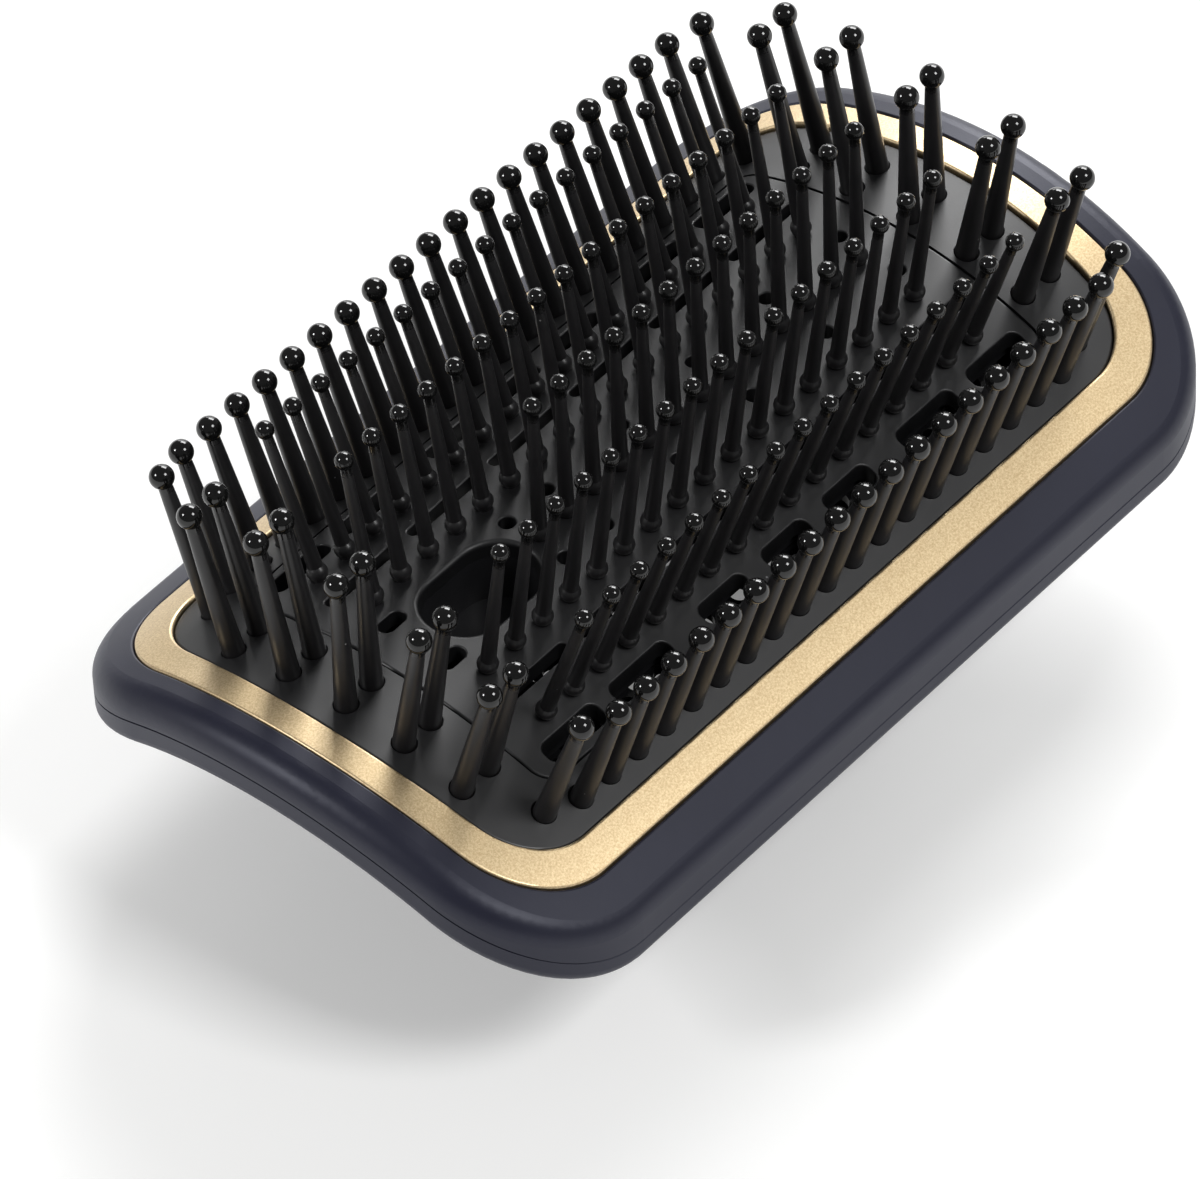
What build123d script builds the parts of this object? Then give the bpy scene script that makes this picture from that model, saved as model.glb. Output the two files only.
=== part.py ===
from build123d import *
import math
import os

# Paddle brush head for a hot-air styler, millimetres, +Z up through the bristles.
# The whole head is bent over one cylinder that lies along X: every sheet in it is an
# outline cut from the space between two depths below that crown.

# crown
CROWN_R = 58.0
CROWN_Z = 34.0
AXIS_Z = CROWN_Z - CROWN_R

# outlines: half length, half width, corner radius, bow of the short ends
HOUSING = (62.2, 36.4, 16.8, 3.0)
RING_OUTER = (57.25, 31.5, 11.5, 2.5)
RING_INNER = (53.6, 27.8, 8.75, 2.7)
PLATE_FLANGE = (56.3, 30.5, 10.5, 2.5)
LEDGE = (52.9, 27.4, 7.5, 2.3)
GRILLE = (53.3, 28.0, 8.0, 2.3)
PAD = (42.8, 21.95, 2.6, 0.5)
PAD_FLANGE = (43.2, 22.65, 2.8, 0.5)
BELLY = (50.0, 26.0, 14.0, 2.0)

# depths below the crown, which is the face the pins stand on; the ring and the lip rise above it
RING_TOP, RING_BOTTOM = -0.5, 1.0
PLATE_THICK = 2.2
PLATE_STEP = 1.1
LEDGE_TOP, LEDGE_BOTTOM = 2.3, 4.3
RETAINER_TOP, RETAINER_BOTTOM = 3.3, 3.95
GRILLE_TOP, GRILLE_BOTTOM = 4.4, 5.5
SEAM = 3.0
SEAM_GAP = 0.2
FLOOR_TOP = 4.4
POCKET_BOTTOM = 5.6
RIM_BOTTOM = 6.6
BELLY_BOTTOM = 13.0
WALL = 2.2

# pins
SIDE_PITCH, SIDE_COUNT, SIDE_Y, SIDE_LEAN = 4.5, 21, 24.9, 19.1
SIDE_END_Y = 23.6
PAD_PITCH, PAD_COUNT, PAD_SHIFT = 4.5, 17, 0.05
PAD_ROWS = {"inner": (8.0, 8.6), "outer": (16.0, 19.0)}
CENTRE_FIRST = 4
END_ROW_Y = ((-16.2, -15.7), (-8.15, -10.5), (0.0, 0.0), (8.15, 10.5), (16.2, 15.7))
END_ROWS_X = {
    "near_end_outer_pins": -49.65,
    "near_end_inner_pins": -45.5,
    "far_end_inner_pins": 45.05,
    "far_end_outer_pins": 49.45,
}
THICK = {"length": 18.1, "ball": 1.42, "neck": 0.82, "base": 1.3, "foot": 1.7, "collar": 0.0}
THIN = {"length": 19.8, "ball": 1.06, "neck": 0.62, "base": 0.92, "foot": 1.4, "collar": 1.22}
FOOT_TOP, FOOT_BOTTOM = 2.5, 3.0
HOLE_CLEAR = 0.05

# pad openings
OUTER_SLOTS = ((-35.4, 8.8), (-24.0, 9.4), (-10.2, 7.4), (0.3, 7.2), (10.8, 7.4), (24.4, 9.4), (36.2, 8.8))
OUTER_SLOT_Y, OUTER_SLOT_W = 19.5, 2.6
LONG_SLOT_X, LONG_SLOT_Y, LONG_SLOT_W, LONG_SLOT_L, LONG_SLOT_PITCH = 0.4, 12.0, 1.5, 11.6, 13.5
AIR_HOLE_Y, AIR_HOLE_R = 4.2, 0.95
AIR_HOLE_X = (-18.5, -12.1, 0.4, 12.9, 25.4, 37.8)
END_SLOT = (-37.4, 4.25, 3.6, 2.0)
RECESS_X, RECESS_L, RECESS_W = -27.8, 15.0, 9.8
CUP_WALL, CUP_DEPTH = 0.8, 9.5

# round socket on the back
CUP_R, CUP_WALL_T, CUP_FLOOR_Z, FLOOR_T = 30.0, 2.0, 9.0, 2.0
SOCKET_R, SOCKET_OUT, SOCKET_FLANGE_R, SOCKET_TOP = 20.0, 22.2, 26.6, 12.6
LOCK_CLEAR, LOCK_OUT, LOCK_BOTTOM, LOCK_TOP = 0.06, 27.0, 2.2, 8.7
STOP_R, STOP_ARC_R, LOCK_TRAVEL = 1.0, 24.6, 40.0

# fasteners: (x, y) on the crown
PLATE_SCREWS = [(x, y) for x in (-36, -12, 12, 36) for y in (-30.2, 30.2)]
PLATE_SCREWS += [(x, y) for x in (-54.8, 54.8) for y in (-9, 9)]
HOUSING_SCREWS = [(x, y) for x in (-26, 26) for y in (-33.5, 33.5)]
HOUSING_SCREWS += [(x, y) for x in (-55.9, 55.9) for y in (-15, 15)]
RETAINER_SCREWS = [(x, y) for x in (-39.9, 39.9) for y in (-8.4, 8.4)]
RETAINER_SCREWS += [(x, y) for x in (-48.1, 47.0) for y in (-12.1, 12.1)]
SOCKET_SCREW_R = 24.5


def crown_z(y, depth=0.0):
    """Height of the crown, or of a sheet below it, at a distance y from the middle."""
    return AXIS_Z + math.sqrt((CROWN_R - depth) ** 2 - y ** 2)


def upright(x, y, lean):
    """A place on the crown whose own Z leans sideways by a given angle."""
    return Location((x, y, crown_z(y)), (-lean, 0, 0))


def square(x, y):
    """A place on the crown whose own Z stands square to it."""
    return upright(x, y, math.degrees(math.asin(y / CROWN_R)))


def outline(half_x, half_y, corner, bow, inset=0.0):
    """Rounded rectangle with slightly bowed short ends."""
    end_x = half_x - bow - inset
    tip_x, side_y = half_x - inset, half_y - inset
    with BuildSketch() as shape:
        with BuildLine():
            Line((-end_x, side_y), (end_x, side_y))
            ThreePointArc((end_x, side_y), (tip_x, 0), (end_x, -side_y))
            Line((end_x, -side_y), (-end_x, -side_y))
            ThreePointArc((-end_x, -side_y), (-tip_x, 0), (-end_x, side_y))
        make_face()
        fillet(shape.vertices(), corner - inset)
    return shape.sketch


def sheet(shape, top, bottom):
    """Curved sheet: an outline cut from the space between two depths."""
    with BuildPart() as curved:
        with BuildSketch():
            add(shape)
        extrude(amount=CROWN_Z + 10)
        with Locations((0, 0, AXIS_Z)):
            Cylinder(CROWN_R - top, 200, rotation=(0, 90, 0), mode=Mode.INTERSECT)
            Cylinder(CROWN_R - bottom, 200, rotation=(0, 90, 0), mode=Mode.SUBTRACT)
    return curved.part


def at_depth(depth, reach=1000.0):
    """Selects the edges that run along a sheet's face at this depth."""

    def on_face(edge):
        spots = [edge @ t for t in (0.0, 0.3, 0.7, 1.0)]
        radii = [math.hypot(p.Y, p.Z - AXIS_Z) for p in spots]
        return all(abs(r - (CROWN_R - depth)) < 0.02 for r in radii) and spots[0].Z < reach

    return on_face


def within(half_x, half_y):
    """Selects the edges whose middle lies inside a plan rectangle."""
    return lambda edge: abs((edge @ 0.5).X) < half_x and abs((edge @ 0.5).Y) < half_y


def near_recess(edge):
    spot = edge @ 0.5
    return abs(spot.X - RECESS_X) < RECESS_L / 2 + 0.5 and abs(spot.Y) < RECESS_W / 2 + 0.3


def save(builder, name):
    builder.part.label = name
    export_step(builder.part, f"parts/{name}.step")
    print(name, len(builder.part.solids()), builder.part.is_valid, round(builder.part.volume, 1))


def make_pin(size):
    """One pin along its own Z: foot under the plate, tapered shaft, ball at the tip."""
    neck_z = size["length"] - math.sqrt(size["ball"] ** 2 - size["neck"] ** 2)
    diagonal = size["ball"] * math.sqrt(0.5)
    with BuildPart() as pin:
        with BuildSketch(Plane.XZ):
            with BuildLine():
                Polyline(
                    (0, size["length"] + size["ball"]),
                    (0, -FOOT_BOTTOM),
                    (size["foot"], -FOOT_BOTTOM),
                    (size["foot"], -FOOT_TOP),
                    (size["base"], -FOOT_TOP),
                    (size["base"], 0.1),
                )
                if size["collar"]:
                    Spline((size["base"], 0.1), (size["collar"], 0.8), (size["base"] - 0.03, 1.7))
                    Line((size["base"] - 0.03, 1.7), (size["neck"], neck_z))
                else:
                    Line((size["base"], 0.1), (size["neck"], neck_z))
                ThreePointArc(
                    (size["neck"], neck_z),
                    (diagonal, size["length"] + diagonal),
                    (0, size["length"] + size["ball"]),
                )
            make_face()
        revolve(axis=Axis.Z)
    return pin.part


def build_pins(name, size, places):
    """A row of pins in one node, each pin its own solid."""
    pin = make_pin(size)
    with BuildPart() as row:
        with Locations(*places):
            add(pin)
    save(row, name)


def side_places(side):
    """The long row of thick pins down one side; its first and last pins step inwards."""
    places = []
    for i in range(SIDE_COUNT):
        y = SIDE_END_Y if i in (0, SIDE_COUNT - 1) else SIDE_Y
        x = (i - (SIDE_COUNT - 1) / 2) * SIDE_PITCH
        places.append(upright(x, side * y, side * SIDE_LEAN))
    return places


def pad_places(y, lean, first=0):
    """A row of thin pins on the pad."""
    return [
        upright((j - (PAD_COUNT - 1) / 2) * PAD_PITCH + PAD_SHIFT, y, lean)
        for j in range(first, PAD_COUNT)
    ]


def end_places(x):
    return [upright(x, y, lean) for y, lean in END_ROW_Y]


def all_thick_places():
    places = side_places(1) + side_places(-1)
    for x in END_ROWS_X.values():
        places += end_places(x)
    return places


def all_thin_places():
    places = pad_places(0, 0, CENTRE_FIRST)
    for y, lean in PAD_ROWS.values():
        for side in (-1, 1):
            places += pad_places(side * y, side * lean)
    return places


def build_front_shell():
    """Navy upper housing: rounded lip round the ring, ledge that carries the bristle plate."""
    body = sheet(outline(*HOUSING), RING_TOP, SEAM - SEAM_GAP / 2)
    spigot = sheet(outline(*HOUSING, inset=WALL + 0.15), SEAM - 1.2, LEDGE_BOTTOM)
    rebate = sheet(outline(*RING_OUTER, inset=-0.12), -2, LEDGE_TOP)
    opening = sheet(outline(*LEDGE), -2, LEDGE_BOTTOM + 1)
    with BuildPart() as front_shell:
        add(body)
        fillet(front_shell.edges().filter_by(at_depth(RING_TOP)), 3.0)
        add(spigot)
        add(rebate, mode=Mode.SUBTRACT)
        rim = front_shell.edges().filter_by(at_depth(RING_TOP)).filter_by(within(58.5, 32.5))
        fillet(rim, 0.25)
        add(opening, mode=Mode.SUBTRACT)
        with Locations(*[square(x, y) for x, y in HOUSING_SCREWS]):
            with Locations((0, 0, -5)):
                Cylinder(0.92, 5.0, mode=Mode.SUBTRACT)
        with Locations(*[square(x, y) for x, y in PLATE_SCREWS]):
            with Locations((0, 0, -2)):
                Cylinder(0.62, 4.2, mode=Mode.SUBTRACT)
    save(front_shell, "front_shell")


def build_back_shell():
    """Navy lower housing: rim, shallow belly and a round cup that holds the socket."""
    rim = sheet(outline(*HOUSING), SEAM + SEAM_GAP / 2, RIM_BOTTOM)
    well = sheet(outline(*HOUSING, inset=WALL), SEAM - 1, FLOOR_TOP)
    pocket = sheet(outline(*GRILLE, inset=-0.2), SEAM - 1, POCKET_BOTTOM)
    belly = sheet(outline(*BELLY), POCKET_BOTTOM, BELLY_BOTTOM)
    hollow = sheet(outline(*BELLY, inset=1.8), SEAM - 1, BELLY_BOTTOM - 1.8)
    with BuildPart() as rounded_belly:
        add(belly)
        fillet(rounded_belly.edges().filter_by(at_depth(BELLY_BOTTOM)), 2.5)
    with BuildPart() as cup:
        with Locations((0, 0, CUP_FLOOR_Z)):
            Cylinder(CUP_R, 20, align=(Align.CENTER, Align.CENTER, Align.MIN))
        fillet(cup.edges().group_by(Axis.Z)[0], 1.5)
        with Locations((0, 0, AXIS_Z)):
            Cylinder(CROWN_R - POCKET_BOTTOM - 0.1, 200, rotation=(0, 90, 0), mode=Mode.INTERSECT)
    with BuildPart() as back_shell:
        add(rim)
        fillet(back_shell.edges().filter_by(at_depth(RIM_BOTTOM)), 1.5)
        add(well, mode=Mode.SUBTRACT)
        add(pocket, mode=Mode.SUBTRACT)
        add(rounded_belly.part)
        add(cup.part)
        add(hollow, mode=Mode.SUBTRACT)
        with Locations((0, 0, CUP_FLOOR_Z + FLOOR_T)):
            Cylinder(CUP_R - CUP_WALL_T, 40, align=(Align.CENTER, Align.CENTER, Align.MIN), mode=Mode.SUBTRACT)
        with Locations((0, 0, CUP_FLOOR_Z + 1)):
            Cylinder(SOCKET_OUT + 0.05, 10, mode=Mode.SUBTRACT)
        with Locations((0, STOP_ARC_R, CUP_FLOOR_Z + 1)):
            Cylinder(STOP_R + 0.01, 4, mode=Mode.SUBTRACT)
        with Locations((0, 0, CUP_FLOOR_Z + 1)):
            with PolarLocations(SOCKET_SCREW_R, 4, start_angle=45):
                Cylinder(0.72, 4, mode=Mode.SUBTRACT)
        with Locations(*[square(x, y) for x, y in HOUSING_SCREWS]):
            with Locations((0, 0, -7)):
                Cylinder(0.95, 6, mode=Mode.SUBTRACT)
            with Locations((0, 0, -5.5)):
                Cylinder(1.85, 3, align=(Align.CENTER, Align.CENTER, Align.MAX), mode=Mode.SUBTRACT)
    save(back_shell, "back_shell")


def build_trim_ring():
    """Champagne metal ring laid between the lip and the bristle plate; its inner wall stands proud of the plate."""
    inner = sheet(outline(*RING_INNER), -2, 4)
    with BuildPart() as trim_ring:
        add(sheet(outline(*RING_OUTER), RING_TOP, RING_BOTTOM))
        fillet(trim_ring.edges().filter_by(at_depth(RING_TOP)), 0.3)
        add(inner, mode=Mode.SUBTRACT)
        inner_rim = trim_ring.edges().filter_by(at_depth(RING_TOP)).filter_by(within(55.4, 29.6))
        fillet(inner_rim, 0.3)
    save(trim_ring, "trim_ring")


def build_bristle_plate():
    """Black frame that holds the thick pins and leaves a window for the pad."""
    window = sheet(outline(*PAD, inset=-0.2), -2, 4)
    step = sheet(outline(*PAD_FLANGE, inset=-0.15), PLATE_STEP - 0.05, 4)
    with BuildPart() as bristle_plate:
        add(sheet(outline(*RING_INNER, inset=0.15), 0.0, PLATE_THICK))
        fillet(bristle_plate.edges().filter_by(at_depth(0.0)), 0.3)
        add(sheet(outline(*PLATE_FLANGE), PLATE_STEP, PLATE_THICK))
        add(window, mode=Mode.SUBTRACT)
        add(step, mode=Mode.SUBTRACT)
        with Locations(*all_thick_places()):
            Cylinder(THICK["base"] + HOLE_CLEAR, 8, mode=Mode.SUBTRACT)
            with Locations((0, 0, -0.2)):
                Cone(THICK["base"] + 0.03, THICK["base"] + 0.43, 0.5, align=(Align.CENTER, Align.CENTER, Align.MIN), mode=Mode.SUBTRACT)
        with Locations(*[square(x, y) for x, y in PLATE_SCREWS]):
            Cylinder(0.65, 8, mode=Mode.SUBTRACT)
            with Locations((0, 0, -1.7)):
                Cylinder(1.35, 2, align=(Align.CENTER, Align.CENTER, Align.MIN), mode=Mode.SUBTRACT)
        with Locations(*[square(x, y) for x, y in RETAINER_SCREWS if abs(x) > PAD[0]]):
            with Locations((0, 0, -0.8)):
                Cylinder(0.62, 3, align=(Align.CENTER, Align.CENTER, Align.MAX), mode=Mode.SUBTRACT)
    save(bristle_plate, "bristle_plate")


def slot_shapes():
    """Plan of every opening moulded through the pad."""
    with BuildSketch() as openings:
        for side in (-1, 1):
            for x, length in OUTER_SLOTS:
                with Locations((x, side * OUTER_SLOT_Y)):
                    RectangleRounded(length, OUTER_SLOT_W, 1.1)
            with Locations((LONG_SLOT_X, side * LONG_SLOT_Y)):
                with GridLocations(LONG_SLOT_PITCH, 1, 6, 1):
                    RectangleRounded(LONG_SLOT_L, LONG_SLOT_W, 0.7)
            with Locations(*[(x, side * AIR_HOLE_Y) for x in AIR_HOLE_X]):
                Circle(AIR_HOLE_R)
            with Locations((END_SLOT[0], side * END_SLOT[1])):
                SlotOverall(END_SLOT[2], END_SLOT[3])
        with Locations((RECESS_X, 0)):
            SlotOverall(RECESS_L, RECESS_W)
    return openings.sketch


def build_bristle_pad():
    """Black inner pad: thin pins, air slots and the well near one end."""
    with BuildPart() as bristle_pad:
        add(sheet(outline(*PAD), 0.0, PLATE_THICK))
        fillet(bristle_pad.edges().filter_by(at_depth(0.0)), 0.3)
        add(sheet(outline(*PAD_FLANGE), PLATE_STEP + 0.05, PLATE_THICK))
        with BuildSketch():
            add(slot_shapes())
        extrude(amount=CROWN_Z + 5, mode=Mode.SUBTRACT)
        rims = bristle_pad.edges().filter_by(at_depth(0.0)).filter_by(within(PAD[0] - 1.5, PAD[1] - 1.0))
        fillet(rims.filter_by(lambda e: not near_recess(e)), 0.2)
        fillet(bristle_pad.edges().filter_by(at_depth(0.0)).filter_by(near_recess), 0.5)
        with Locations(*all_thin_places()):
            Cylinder(THIN["base"] + HOLE_CLEAR, 8, mode=Mode.SUBTRACT)
        with Locations(*[square(x, y) for x, y in RETAINER_SCREWS if abs(x) < PAD[0]]):
            with Locations((0, 0, -0.8)):
                Cylinder(0.62, 3, align=(Align.CENTER, Align.CENTER, Align.MAX), mode=Mode.SUBTRACT)
    save(bristle_pad, "bristle_pad")


def build_recess_cup():
    """Closed cup that lines the well in the pad."""
    with BuildPart() as recess_cup:
        with BuildSketch(Plane.XY.offset(CROWN_Z - CUP_DEPTH)):
            with Locations((RECESS_X, 0)):
                SlotOverall(RECESS_L + 2 * CUP_WALL, RECESS_W + 2 * CUP_WALL)
        extrude(amount=CUP_DEPTH + 1)
        with BuildSketch(Plane.XY.offset(CROWN_Z - CUP_DEPTH + CUP_WALL)):
            with Locations((RECESS_X, 0)):
                SlotOverall(RECESS_L, RECESS_W)
        extrude(amount=CUP_DEPTH + 1, mode=Mode.SUBTRACT)
        with Locations((0, 0, AXIS_Z)):
            Cylinder(CROWN_R - PLATE_THICK - 0.03, 200, rotation=(0, 90, 0), mode=Mode.INTERSECT)
    save(recess_cup, "recess_cup")


def build_plate_pin_retainer():
    """Frame under the bristle plate that keeps the thick pins' feet in place."""
    with BuildPart() as plate_pin_retainer:
        add(sheet(outline(*LEDGE, inset=0.3), RETAINER_TOP, RETAINER_BOTTOM))
        with BuildSketch():
            RectangleRounded(2 * 42.9, 2 * 22.2, 2.5)
        extrude(amount=CROWN_Z + 5, mode=Mode.SUBTRACT)
        with Locations(*[square(x, y) for x, y in RETAINER_SCREWS if abs(x) > PAD[0]]):
            Cylinder(0.65, 12, mode=Mode.SUBTRACT)
    save(plate_pin_retainer, "plate_pin_retainer")


def build_pad_pin_retainer():
    """Ladder of strips under the pad, open wherever air has to pass."""
    strip_y = (-16.0, -8.07, 8.07, 16.0)
    with BuildSketch() as ladder:
        with Locations(*[(0, y) for y in strip_y]):
            Rectangle(83.6, 3.2)
        with Locations((11.2, 0)):
            Rectangle(61.2, 3.2)
        with Locations((-40.3, 0), (40.3, 0)):
            Rectangle(3.0, 35.2)
    with BuildPart() as pad_pin_retainer:
        add(sheet(ladder.sketch, RETAINER_TOP, RETAINER_BOTTOM))
        with Locations(*[square(x, y) for x, y in RETAINER_SCREWS if abs(x) < PAD[0]]):
            Cylinder(0.65, 12, mode=Mode.SUBTRACT)
    save(pad_pin_retainer, "pad_pin_retainer")


def build_diffuser_grille():
    """Perforated sheet that spreads the air behind the pad."""
    with BuildSketch() as holes:
        with HexLocations(1.65, 33, 17):
            Circle(1.2)
        with Locations((RECESS_X, 0)):
            SlotOverall(RECESS_L + 2 * CUP_WALL + 4, RECESS_W + 2 * CUP_WALL + 4, mode=Mode.SUBTRACT)
            SlotOverall(RECESS_L + 2 * CUP_WALL + 0.4, RECESS_W + 2 * CUP_WALL + 0.4)
    with BuildPart() as diffuser_grille:
        add(sheet(outline(*GRILLE), GRILLE_TOP, GRILLE_BOTTOM))
        with BuildSketch():
            add(holes.sketch)
        extrude(amount=CROWN_Z + 5, mode=Mode.SUBTRACT)
    save(diffuser_grille, "diffuser_grille")


def build_socket():
    """Round tube the styler's barrel pushes into, its seal and its retaining ring."""
    with BuildPart() as socket_tube:
        with BuildSketch(Plane.XZ):
            with BuildLine():
                Polyline(
                    (SOCKET_R, 0.6),
                    (SOCKET_R + 0.6, 0),
                    (SOCKET_OUT - 0.3, 0),
                    (SOCKET_OUT, 0.3),
                    (SOCKET_OUT, 1.15),
                    (SOCKET_OUT - 0.75, 1.15),
                    (SOCKET_OUT - 0.75, 2.05),
                    (SOCKET_OUT, 2.05),
                    (SOCKET_OUT, CUP_FLOOR_Z + FLOOR_T + 0.05),
                    (SOCKET_FLANGE_R, CUP_FLOOR_Z + FLOOR_T + 0.05),
                    (SOCKET_FLANGE_R, SOCKET_TOP),
                    (SOCKET_R, SOCKET_TOP),
                    (SOCKET_R, 10.2),
                    (SOCKET_R + 1.0, 10.2),
                    (SOCKET_R + 1.0, 8.8),
                    (SOCKET_R, 8.8),
                    close=True,
                )
            make_face()
        revolve(axis=Axis.Z)
        with PolarLocations(SOCKET_SCREW_R, 4, start_angle=45):
            with Locations((0, 0, SOCKET_TOP)):
                Cylinder(0.85, 4, mode=Mode.SUBTRACT)
        with Locations((0, STOP_ARC_R, SOCKET_TOP)):
            Cylinder(STOP_R + 0.1, 4, mode=Mode.SUBTRACT)
    save(socket_tube, "socket_tube")

    with BuildPart() as socket_seal:
        with BuildSketch(Plane.XZ):
            with Locations((SOCKET_R + 0.47, 9.5)):
                RectangleRounded(0.94, 1.3, 0.2)
        revolve(axis=Axis.Z)
    save(socket_seal, "socket_seal")

    with BuildPart() as retaining_ring:
        with BuildSketch(Plane.XY.offset(1.2)):
            Circle(24.2)
            Circle(SOCKET_OUT - 0.7, mode=Mode.SUBTRACT)
            with Locations((0, -SOCKET_OUT)):
                Rectangle(7, 6, mode=Mode.SUBTRACT)
        extrude(amount=0.8)
    save(retaining_ring, "retaining_ring")


def build_lock_ring():
    """Fluted ring that turns on the socket tube; its blind arc slot rides on the stop pin."""
    span = LOCK_TRAVEL + 6
    with BuildPart() as lock_ring:
        with Locations((0, 0, LOCK_BOTTOM)):
            Cylinder(LOCK_OUT, LOCK_TOP - LOCK_BOTTOM, align=(Align.CENTER, Align.CENTER, Align.MIN))
        chamfer(lock_ring.edges().filter_by(GeomType.CIRCLE), 0.6)
        with Locations((0, 0, LOCK_BOTTOM)):
            Cylinder(SOCKET_OUT + LOCK_CLEAR, 20, mode=Mode.SUBTRACT)
            with PolarLocations(LOCK_OUT + 0.5, 40):
                Cylinder(1.0, 40, mode=Mode.SUBTRACT)
        with BuildSketch(Plane.XZ):
            with Locations((STOP_ARC_R, LOCK_TOP)):
                Rectangle(2.7, 3.4)
        revolve(axis=Axis.Z, revolution_arc=-span, mode=Mode.SUBTRACT)
    turned = lock_ring.part.rotate(Axis.Z, 90 + 3)
    with BuildPart() as placed:
        add(turned)
    save(placed, "lock_ring")


def build_fasteners():
    """Stop pin and the four sets of screws."""
    with BuildPart() as stop_pin:
        with Locations((0, STOP_ARC_R, 7.4)):
            Cylinder(STOP_R, 4.6, align=(Align.CENTER, Align.CENTER, Align.MIN))
        chamfer(stop_pin.edges().group_by(Axis.Z)[0], 0.2)
    save(stop_pin, "stop_pin")

    with BuildPart() as plate_screws:
        with Locations(*[square(x, y) for x, y in PLATE_SCREWS]):
            with Locations((0, 0, -1.65)):
                Cylinder(1.3, 0.5, align=(Align.CENTER, Align.CENTER, Align.MIN))
            with Locations((0, 0, -3.9)):
                Cylinder(0.6, 2.4, align=(Align.CENTER, Align.CENTER, Align.MIN))
    save(plate_screws, "plate_screws")

    with BuildPart() as housing_screws:
        with Locations(*[square(x, y) for x, y in HOUSING_SCREWS]):
            with Locations((0, 0, -6.2)):
                Cylinder(1.7, 0.65, align=(Align.CENTER, Align.CENTER, Align.MIN))
            with Locations((0, 0, -5.9)):
                Cylinder(0.9, 3.1, align=(Align.CENTER, Align.CENTER, Align.MIN))
            with Locations((0, 0, -6.2)):
                Box(2.2, 0.4, 0.5, mode=Mode.SUBTRACT)
                Box(0.4, 2.2, 0.5, mode=Mode.SUBTRACT)
    save(housing_screws, "housing_screws")

    with BuildPart() as retainer_screws:
        with Locations(*[square(x, y) for x, y in RETAINER_SCREWS]):
            with Locations((0, 0, -4.35)):
                Cylinder(0.95, 0.35, align=(Align.CENTER, Align.CENTER, Align.MIN))
            with Locations((0, 0, -4.1)):
                Cylinder(0.6, 3.2, align=(Align.CENTER, Align.CENTER, Align.MIN))
    save(retainer_screws, "retainer_screws")

    with BuildPart() as socket_screws:
        with PolarLocations(SOCKET_SCREW_R, 4, start_angle=45):
            with Locations((0, 0, SOCKET_TOP + 0.03)):
                Cylinder(1.4, 0.9, align=(Align.CENTER, Align.CENTER, Align.MIN))
            with Locations((0, 0, CUP_FLOOR_Z + 0.3)):
                Cylinder(0.7, 3.8, align=(Align.CENTER, Align.CENTER, Align.MIN))
    save(socket_screws, "socket_screws")


os.makedirs("parts", exist_ok=True)
build_front_shell()
build_back_shell()
build_trim_ring()
build_bristle_plate()
build_bristle_pad()
build_recess_cup()
build_plate_pin_retainer()
build_pad_pin_retainer()
build_diffuser_grille()
build_socket()
build_lock_ring()
build_fasteners()
build_pins("side_pins_left", THICK, side_places(1))
build_pins("side_pins_right", THICK, side_places(-1))
for row_name, row_x in END_ROWS_X.items():
    build_pins(row_name, THICK, end_places(row_x))
build_pins("pad_pins_centre", THIN, pad_places(0, 0, CENTRE_FIRST))
for row_name, (row_y, row_lean) in PAD_ROWS.items():
    build_pins(f"pad_pins_{row_name}_left", THIN, pad_places(row_y, row_lean))
    build_pins(f"pad_pins_{row_name}_right", THIN, pad_places(-row_y, -row_lean))
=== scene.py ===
"""Looks for the paddle brush head: materials, floor, light and camera. Lengths are in metres."""
import math

import bpy
from mathutils import Euler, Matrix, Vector

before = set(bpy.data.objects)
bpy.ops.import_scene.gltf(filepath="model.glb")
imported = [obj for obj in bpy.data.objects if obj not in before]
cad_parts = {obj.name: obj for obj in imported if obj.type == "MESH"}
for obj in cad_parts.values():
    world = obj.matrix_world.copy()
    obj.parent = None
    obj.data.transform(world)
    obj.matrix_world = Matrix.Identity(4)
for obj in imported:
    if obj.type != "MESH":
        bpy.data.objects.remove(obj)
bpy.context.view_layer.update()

# The head is bent over one cylinder that lies along x, under the middle of the head.
CROWN_RADIUS = 0.058
CROWN_TOP = 0.034
CROWN_AXIS_Z = CROWN_TOP - CROWN_RADIUS

# How far the centres of the ball tips stand above the crown.
THICK_PIN_REACH = 0.0181
THIN_PIN_REACH = 0.0198

# Below a ball's centre, a pin is all shaft from the first depth down and all ball from the second up.
SHAFT_DEPTH = 0.0022
BALL_DEPTH = 0.0012

# Noise seldom leaves this range, so it is what a roughness or a tone is spread over.
NOISE_RANGE = (0.3, 0.7)
FLAKE_RANGE = (0.35, 0.65)

GRAIN_HEIGHT = 0.00002
PEEL_HEIGHT = 0.00005

DUST_ON_BLACK = (0.30, 0.30, 0.31)
DUST_ON_NAVY = (0.35, 0.36, 0.40)
DUST_ON_PINS = (0.25, 0.25, 0.25)

FLOOR_SIZE = 12.0
SKY_STRENGTH = 0.20
LAMP_DISTANCE = 1.6

CAMERA_PLACE = (-0.58879, -0.53231, 0.83826)
CAMERA_TURN_DEGREES = (43.789, 2.082, -49.624)
CAMERA_LENS_MM = 311.697
CAMERA_SENSOR_MM = 36.0
CAMERA_CLIP_END = 50.0


# ---------------------------------------------------------------- shader helpers
def new_material(name):
    mat = bpy.data.materials.new(name)
    mat.use_nodes = True
    tree = mat.node_tree
    return mat, tree, tree.nodes["Principled BSDF"]


def set_sockets(node, values):
    for socket, value in values.items():
        node.inputs[socket].default_value = value


def add(tree, kind, **values):
    node = tree.nodes.new(kind)
    for key, value in values.items():
        setattr(node, key, value)
    return node


def object_coords(tree):
    return add(tree, "ShaderNodeTexCoord").outputs["Object"]


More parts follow.
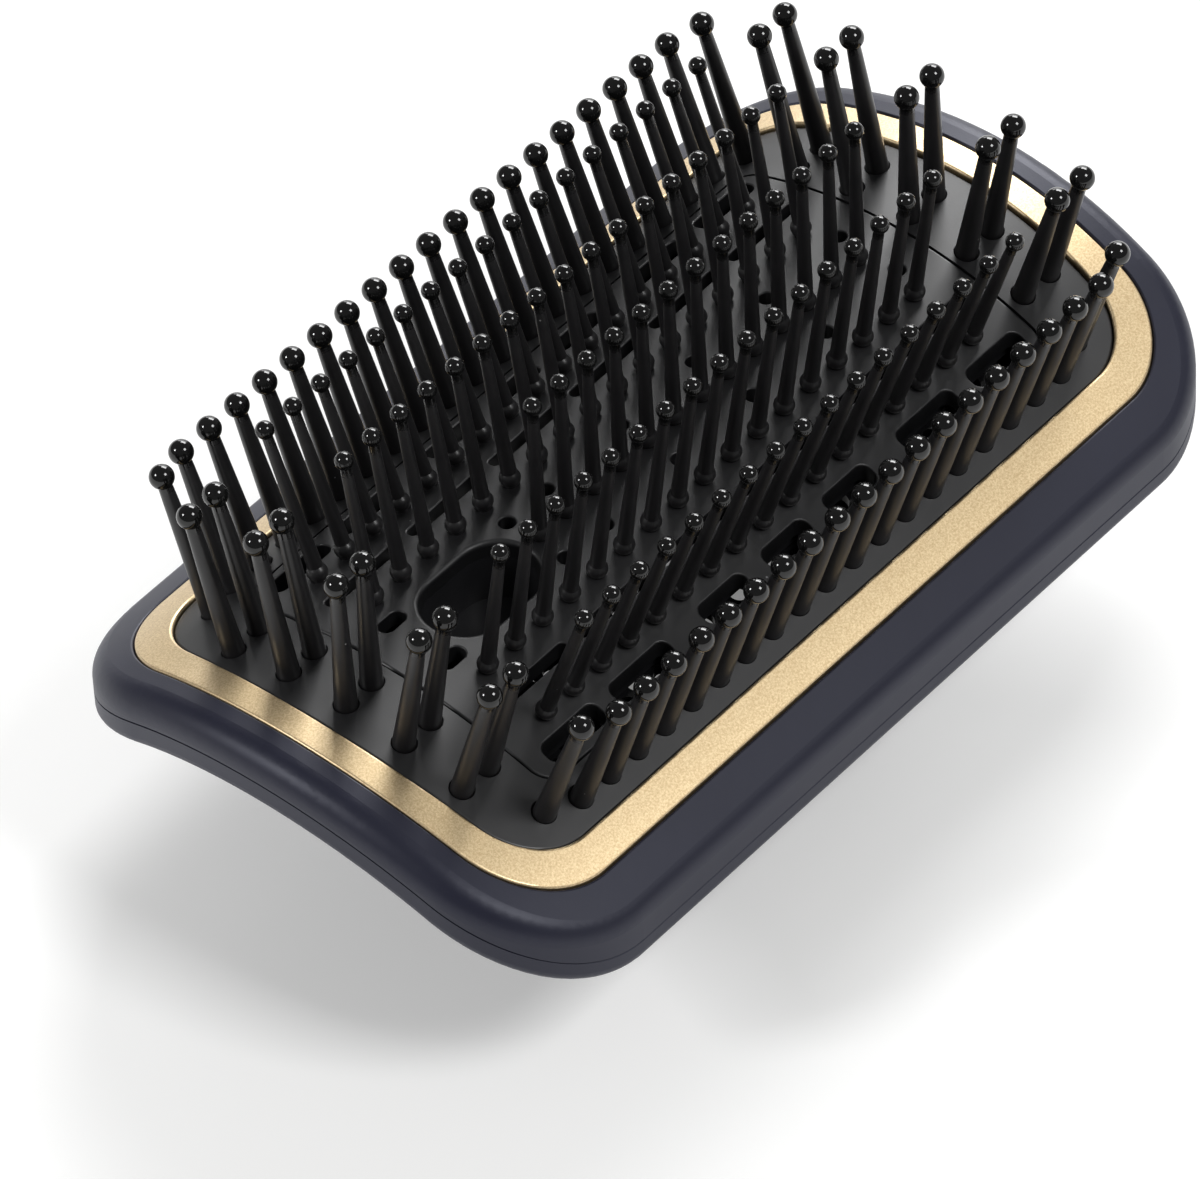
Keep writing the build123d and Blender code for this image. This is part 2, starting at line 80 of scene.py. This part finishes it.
def noise(tree, scale, detail=3.0, roughness=0.6):
    """Fractal noise with about `scale` blotches to the metre."""
    tex = add(tree, "ShaderNodeTexNoise")
    set_sockets(tex, {"Scale": scale, "Detail": detail, "Roughness": roughness})
    tree.links.new(object_coords(tree), tex.inputs["Vector"])
    return tex.outputs["Fac"]


def fill(tree, socket, value):
    """Puts a number or a colour in a socket, or links another node's output to it."""
    if isinstance(value, (int, float)):
        socket.default_value = value
    elif isinstance(value, tuple):
        socket.default_value = (*value, 1.0)
    else:
        tree.links.new(value, socket)


def math_node(tree, operation, a, b=0.0, clamp=False):
    node = add(tree, "ShaderNodeMath", operation=operation, use_clamp=clamp)
    fill(tree, node.inputs[0], a)
    fill(tree, node.inputs[1], b)
    return node.outputs[0]


def ramp(tree, factor, source, target):
    """Carries a factor from one (low, high) range to another."""
    node = add(tree, "ShaderNodeMapRange")
    set_sockets(node, {"From Min": source[0], "From Max": source[1],
                       "To Min": target[0], "To Max": target[1]})
    tree.links.new(factor, node.inputs["Value"])
    return node.outputs["Result"]


def mix_colour(tree, factor, a, b):
    node = add(tree, "ShaderNodeMix", data_type="RGBA")
    factor_input, colour_a, colour_b = node.inputs[0], node.inputs[6], node.inputs[7]
    fill(tree, factor_input, factor)
    fill(tree, colour_a, a)
    fill(tree, colour_b, b)
    return node.outputs[2]


def scaled(colour, share):
    return tuple(share * channel for channel in colour)


def bump(tree, bsdf, layers):
    """Adds up (height, strength, distance) layers of bump, the last one outermost."""
    previous = None
    for height, strength, distance in layers:
        node = add(tree, "ShaderNodeBump")
        set_sockets(node, {"Strength": strength, "Distance": distance})
        tree.links.new(height, node.inputs["Height"])
        if previous is not None:
            tree.links.new(previous, node.inputs["Normal"])
        previous = node.outputs["Normal"]
    tree.links.new(previous, bsdf.inputs["Normal"])


def specks(tree, scale, size, share):
    """A few tiny round specks scattered over a surface: 1 on a speck, 0 elsewhere."""
    cells = add(tree, "ShaderNodeTexVoronoi")
    set_sockets(cells, {"Scale": scale})
    tree.links.new(object_coords(tree), cells.inputs["Vector"])
    near = math_node(tree, "LESS_THAN", cells.outputs["Distance"], size)
    split = add(tree, "ShaderNodeSeparateColor")
    tree.links.new(cells.outputs["Color"], split.inputs["Color"])
    chosen = math_node(tree, "LESS_THAN", split.outputs[0], share)
    return math_node(tree, "MULTIPLY", near, chosen)


# ---------------------------------------------------------------- materials
def plastic(name, colour, rough, grain=0.25, specular=0.5):
    """Moulded plastic: uneven roughness, fine spark-eroded grain and a trace of dust."""
    mat, tree, bsdf = new_material(name)
    cloud = noise(tree, scale=60.0, detail=4.0)
    fine = noise(tree, scale=3500.0, detail=2.0)
    dust = specks(tree, scale=420.0, size=0.05, share=0.02)
    tint = mix_colour(tree, cloud, scaled(colour, 0.85), scaled(colour, 1.15))
    tree.links.new(mix_colour(tree, dust, tint, DUST_ON_BLACK), bsdf.inputs["Base Color"])
    patchy = ramp(tree, cloud, NOISE_RANGE, (rough - 0.05, rough + 0.06))
    tree.links.new(patchy, bsdf.inputs["Roughness"])
    set_sockets(bsdf, {"Specular IOR Level": specular})
    bump(tree, bsdf, [(fine, grain, GRAIN_HEIGHT)])
    return mat


def soft_touch(name, colour):
    """Navy rubber-like paint: broad soft sheen, very fine grain, clinging dust."""
    mat, tree, bsdf = new_material(name)
    cloud = noise(tree, scale=45.0, detail=5.0)
    fine = noise(tree, scale=5200.0, detail=2.0)
    peel = noise(tree, scale=700.0, detail=2.0)
    dust = specks(tree, scale=380.0, size=0.055, share=0.05)
    tint = mix_colour(tree, cloud, scaled(colour, 0.88), scaled(colour, 1.12))
    tree.links.new(mix_colour(tree, dust, tint, DUST_ON_NAVY), bsdf.inputs["Base Color"])
    tree.links.new(ramp(tree, cloud, NOISE_RANGE, (0.43, 0.49)), bsdf.inputs["Roughness"])
    set_sockets(bsdf, {"Specular IOR Level": 0.48, "Specular Tint": (0.86, 0.88, 1.0, 1.0),
                       "Sheen Weight": 0.02, "Sheen Roughness": 0.4,
                       "Sheen Tint": (0.6, 0.65, 1.0, 1.0)})
    bump(tree, bsdf, [(peel, 0.10, PEEL_HEIGHT), (fine, 0.30, GRAIN_HEIGHT)])
    return mat


def champagne(name, dark, light):
    """Satin champagne metal with the sparkle of a fine metallic lacquer under a clear coat."""
    mat, tree, bsdf = new_material(name)
    flake = noise(tree, scale=4200.0, detail=2.0, roughness=0.8)
    cloud = noise(tree, scale=90.0, detail=3.0)
    tone = mix_colour(tree, ramp(tree, flake, FLAKE_RANGE, (0.0, 1.0)), dark, light)
    tree.links.new(tone, bsdf.inputs["Base Color"])
    tree.links.new(ramp(tree, cloud, NOISE_RANGE, (0.44, 0.50)), bsdf.inputs["Roughness"])
    set_sockets(bsdf, {"Metallic": 1.0, "Coat Weight": 0.6, "Coat Roughness": 0.30})
    bump(tree, bsdf, [(flake, 0.35, GRAIN_HEIGHT)])
    return mat


def distance_from_axis(tree):
    """Distance from the axis of the cylinder that the head is bent over."""
    split = add(tree, "ShaderNodeSeparateXYZ")
    tree.links.new(object_coords(tree), split.inputs[0])
    across, height = split.outputs[1], split.outputs[2]
    rise = math_node(tree, "SUBTRACT", height, CROWN_AXIS_Z)
    square = math_node(tree, "ADD", math_node(tree, "MULTIPLY", rise, rise),
                       math_node(tree, "MULTIPLY", across, across))
    return math_node(tree, "SQRT", square)


def pin_plastic(name, reach):
    """Black nylon pins: satin tapered shafts and polished ball tips, told apart by height."""
    mat, tree, bsdf = new_material(name)
    ball_centre = CROWN_RADIUS + reach
    on_ball = ramp(tree, distance_from_axis(tree),
                   (ball_centre - SHAFT_DEPTH, ball_centre - BALL_DEPTH), (0.0, 1.0))
    cloud = noise(tree, scale=300.0, detail=3.0)
    satin = ramp(tree, cloud, NOISE_RANGE, (0.32, 0.38))
    polish = math_node(tree, "MULTIPLY", on_ball, -0.30)
    tree.links.new(math_node(tree, "ADD", satin, polish, clamp=True), bsdf.inputs["Roughness"])
    dust = specks(tree, scale=600.0, size=0.06, share=0.02)
    shaft = mix_colour(tree, cloud, (0.010, 0.010, 0.011), (0.018, 0.017, 0.018))
    tint = mix_colour(tree, on_ball, shaft, (0.004, 0.004, 0.004))
    tree.links.new(mix_colour(tree, dust, tint, DUST_ON_PINS), bsdf.inputs["Base Color"])
    set_sockets(bsdf, {"Specular IOR Level": 0.5})
    fine = noise(tree, scale=2600.0, detail=2.0)
    grain = math_node(tree, "MULTIPLY", fine, math_node(tree, "SUBTRACT", 1.0, on_ball))
    bump(tree, bsdf, [(grain, 0.25, GRAIN_HEIGHT)])
    return mat


def steel(name, dark, light):
    """Zinc-plated screws with turning marks."""
    mat, tree, bsdf = new_material(name)
    fine = noise(tree, scale=3000.0, detail=2.0)
    tree.links.new(mix_colour(tree, fine, dark, light), bsdf.inputs["Base Color"])
    tree.links.new(ramp(tree, fine, NOISE_RANGE, (0.25, 0.42)), bsdf.inputs["Roughness"])
    set_sockets(bsdf, {"Metallic": 1.0})
    bump(tree, bsdf, [(fine, 0.3, GRAIN_HEIGHT)])
    return mat


def dress_nodes():
    """Gives every CAD node its material."""
    navy = soft_touch("navy_soft_touch_paint", (0.0080, 0.0085, 0.0200))
    gold = champagne("champagne_satin_metal", (0.59, 0.43, 0.235), (0.80, 0.645, 0.40))
    black = plastic("black_satin_nylon", (0.0085, 0.0085, 0.0095), rough=0.44, specular=0.7)
    thick_pins = pin_plastic("thick_pin_nylon", THICK_PIN_REACH)
    thin_pins = pin_plastic("thin_pin_nylon", THIN_PIN_REACH)
    # Charcoal is lighter than the black plate; on the recess cup this lighter tone is partly painted
    # light, standing in for light on the cup's inner wall.
    charcoal = plastic("charcoal_heatproof_plastic_and_painted_light", (0.016, 0.016, 0.018), rough=0.42)
    seal_rubber = plastic("silicone_seal", (0.03, 0.03, 0.033), rough=0.62)
    screw_steel = steel("zinc_plated_steel", (0.42, 0.42, 0.43), (0.62, 0.62, 0.60))
    gloss_black = plastic("black_gloss_grille", (0.008, 0.008, 0.009), rough=0.16, grain=0.1)
    looks = {
        "front_shell": navy,
        "back_shell": navy,
        "lock_ring": navy,
        "trim_ring": gold,
        "bristle_plate": black,
        "bristle_pad": black,
        # painted light: the recess cup's lighter charcoal tone stands in for light falling on its
        # inner wall
        "recess_cup": charcoal,
        "plate_pin_retainer": charcoal,
        "pad_pin_retainer": charcoal,
        "diffuser_grille": gloss_black,
        "socket_tube": charcoal,
        "socket_seal": seal_rubber,
    }
    for name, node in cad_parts.items():
        if name in looks:
            look = looks[name]
        elif name.startswith("pad_pins"):
            look = thin_pins
        elif name.endswith("pins") or name.startswith("side_pins"):
            look = thick_pins
        else:
            # what is left is screws, the retaining ring and the stop pin
            look = screw_steel
        for slot in node.material_slots:
            slot.material = look


# ---------------------------------------------------------------- floor, light, camera
def build_floor():
    """A white table, lit a little from below so that the shadow stays pale."""
    mat, _, bsdf = new_material("studio_floor")
    set_sockets(bsdf, {"Base Color": (0.82, 0.82, 0.815, 1.0), "Roughness": 0.9,
                       "Specular IOR Level": 0.1,
                       "Emission Color": (1.0, 1.0, 0.99, 1.0), "Emission Strength": 0.22})
    bpy.ops.mesh.primitive_plane_add(size=FLOOR_SIZE, location=(0, 0, 0))
    floor = bpy.context.object
    floor.name = "studio_floor"
    floor.data.materials.append(mat)


def build_sky():
    world = bpy.data.worlds.new("studio")
    bpy.context.scene.world = world
    world.use_nodes = True
    set_sockets(world.node_tree.nodes["Background"],
                {"Color": (1.0, 1.0, 1.0, 1.0), "Strength": SKY_STRENGTH})


def softbox(name, direction, width, height, power):
    """Area light aimed at the middle of the head from the given direction."""
    data = bpy.data.lights.new(name, "AREA")
    data.shape = "RECTANGLE"
    data.size = width
    data.size_y = height
    data.energy = power
    lamp = bpy.data.objects.new(name, data)
    lamp.location = Vector(direction).normalized() * LAMP_DISTANCE
    lamp.rotation_euler = (-Vector(direction)).to_track_quat("-Z", "Y").to_euler()
    bpy.context.scene.collection.objects.link(lamp)


def build_camera():
    data = bpy.data.cameras.new("camera")
    data.sensor_width = CAMERA_SENSOR_MM
    data.lens = CAMERA_LENS_MM
    data.clip_end = CAMERA_CLIP_END
    camera = bpy.data.objects.new("camera", data)
    camera.location = CAMERA_PLACE
    camera.rotation_euler = Euler([math.radians(angle) for angle in CAMERA_TURN_DEGREES])
    bpy.context.scene.collection.objects.link(camera)
    bpy.context.scene.camera = camera


dress_nodes()
build_floor()
bpy.context.scene.view_settings.view_transform = "Standard"
bpy.context.scene.view_settings.look = "None"
build_sky()
softbox("back_softbox", (0.72, 0.34, 0.60), width=0.8, height=0.5, power=19.0)
softbox("right_softbox", (0.15, -0.6, 0.78), width=0.5, height=0.5, power=12.0)
softbox("low_back_softbox", (0.72, 0.55, 0.30), width=1.2, height=0.45, power=7.0)
softbox("left_softbox", (-0.68, 0.44, 0.58), width=0.3, height=0.3, power=9.0)
build_camera()
